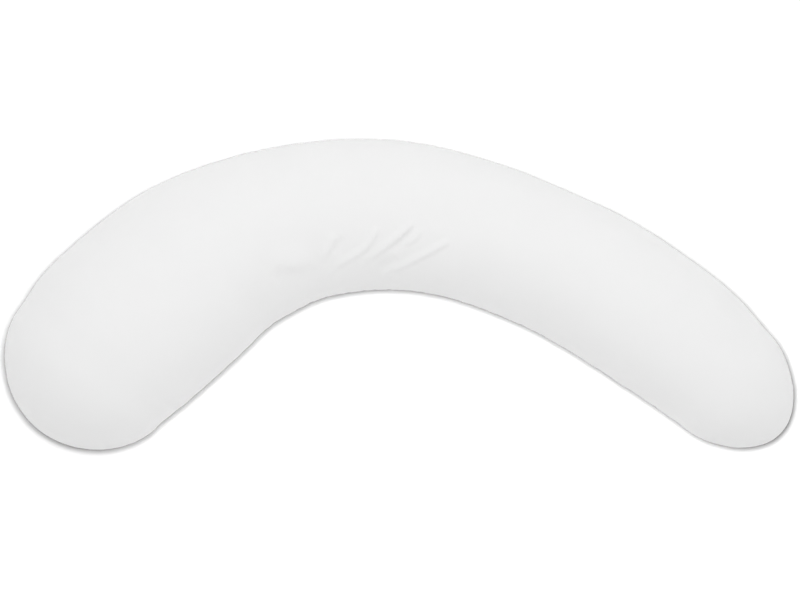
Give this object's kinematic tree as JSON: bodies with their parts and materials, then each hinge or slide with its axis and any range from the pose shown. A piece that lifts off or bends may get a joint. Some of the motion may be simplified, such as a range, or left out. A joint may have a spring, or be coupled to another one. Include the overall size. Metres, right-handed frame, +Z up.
{
  "type": "body pillow",
  "caption": "Long curved body pillow, fat at one end and slimmer at the other, filled and sewn from two crescent panels, lying flat.",
  "frame": {"origin": "on the surface the pillow lies on, under the middle of its box", "axes": "+Z up, +X along the pillow towards its slim end, the hollow of the crescent opens towards -Y"},
  "size_m": [1.399, 0.5508, 0.2199],
  "materials": {
    "cloth": "matt near-white plain cotton cover"
  },
  "bodies": {
    "root": {"pillow": "cloth"}
  },
  "joints": []
}
